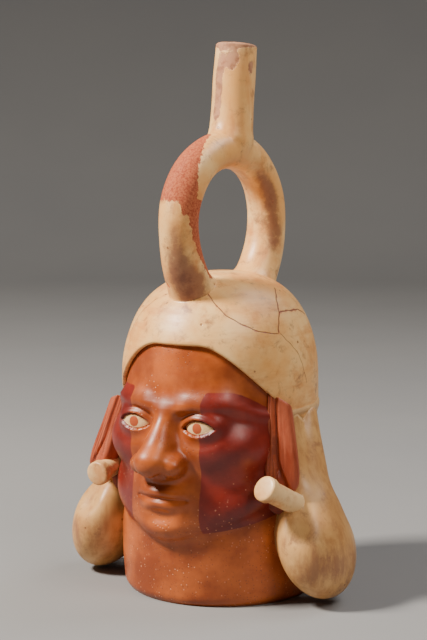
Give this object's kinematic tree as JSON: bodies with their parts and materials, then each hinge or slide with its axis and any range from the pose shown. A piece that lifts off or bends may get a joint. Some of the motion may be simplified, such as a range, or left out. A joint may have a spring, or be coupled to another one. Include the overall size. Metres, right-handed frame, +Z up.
{
  "type": "stirrup spout vessel",
  "caption": "Hollow earthenware bottle in the form of a head in a cap, with a hoop handle on the crown that carries one pouring spout.",
  "frame": {"origin": "centre of the flat underside of the foot, on the surface that the vessel stands on", "axes": "+Z up through the neck and crown; the face looks along -Y; +X is towards the figure's left ear"},
  "size_m": [0.1725, 0.137, 0.3],
  "materials": {
    "slip_painted_clay": "burnished slip, semi-gloss"
  },
  "bodies": {
    "root": {"vessel": "slip_painted_clay"}
  },
  "joints": []
}
